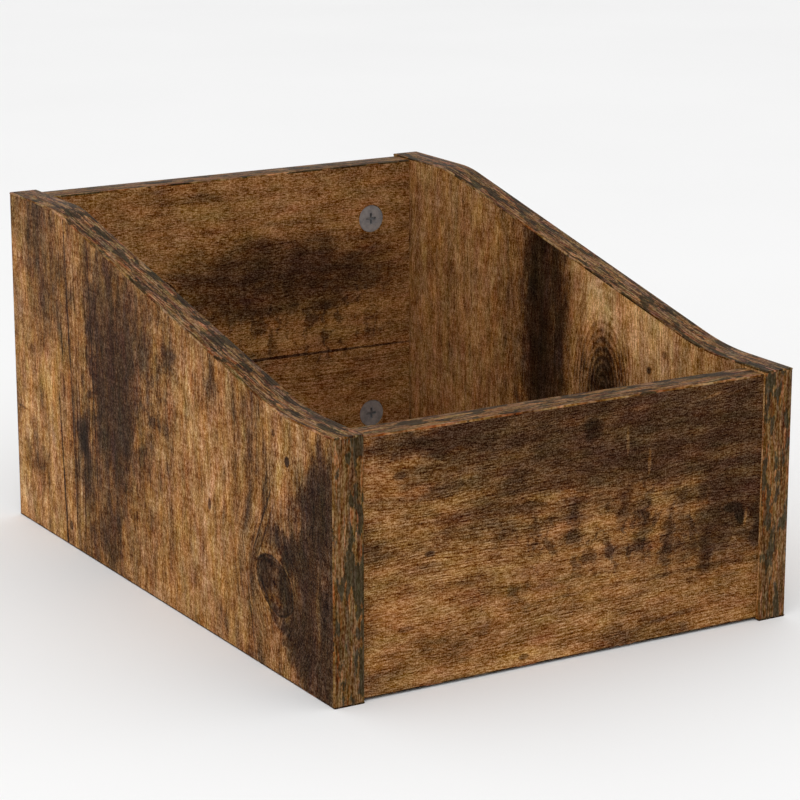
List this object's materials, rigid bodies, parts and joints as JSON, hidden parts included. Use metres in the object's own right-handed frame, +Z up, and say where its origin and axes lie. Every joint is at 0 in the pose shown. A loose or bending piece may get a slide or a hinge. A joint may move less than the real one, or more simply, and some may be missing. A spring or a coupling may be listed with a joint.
{
  "type": "record storage crate",
  "caption": "Open-topped tabletop crate that keeps record sleeves upright, with side boards whose top edge sweeps down in an S curve from a tall rear to a low front.",
  "frame": {"origin": "on the ground in the middle of the crate's outline", "axes": "+X across the crate to the right as seen from the low front, +Y from the low front to the tall rear, +Z up"},
  "size_m": [0.242, 0.335, 0.171],
  "materials": {
    "rustic_board": "melamine-faced particleboard with a printed rustic-brown plank decor, satin",
    "edging_strip": "0.8 mm edging strip with a printed dark streaky grain, satin",
    "zinc_cam": "die-cast zinc, dull",
    "plated_bolt": "zinc-plated steel, bright",
    "beech_dowel": "raw beech"
  },
  "bodies": {
    "root": {"left_side_panel": "rustic_board", "left_side_top_edging": "edging_strip", "left_side_front_edging": "edging_strip", "left_side_rear_edging": "edging_strip", "left_side_bottom_edging": "edging_strip", "right_side_panel": "rustic_board", "right_side_top_edging": "edging_strip", "right_side_front_edging": "edging_strip", "right_side_rear_edging": "edging_strip", "right_side_bottom_edging": "edging_strip", "front_panel": "rustic_board", "front_panel_top_edging": "edging_strip", "front_panel_bottom_edging": "edging_strip", "front_panel_cams": "zinc_cam", "front_panel_cam_bolts": "plated_bolt", "front_panel_dowels": "beech_dowel", "back_panel": "rustic_board", "back_panel_top_edging": "edging_strip", "back_panel_bottom_edging": "edging_strip", "back_panel_cams": "zinc_cam", "back_panel_cam_bolts": "plated_bolt", "back_panel_dowels": "beech_dowel", "bottom_panel": "rustic_board", "bottom_panel_cams": "zinc_cam", "bottom_panel_cam_bolts": "plated_bolt", "bottom_panel_dowels": "beech_dowel"}
  },
  "joints": []
}
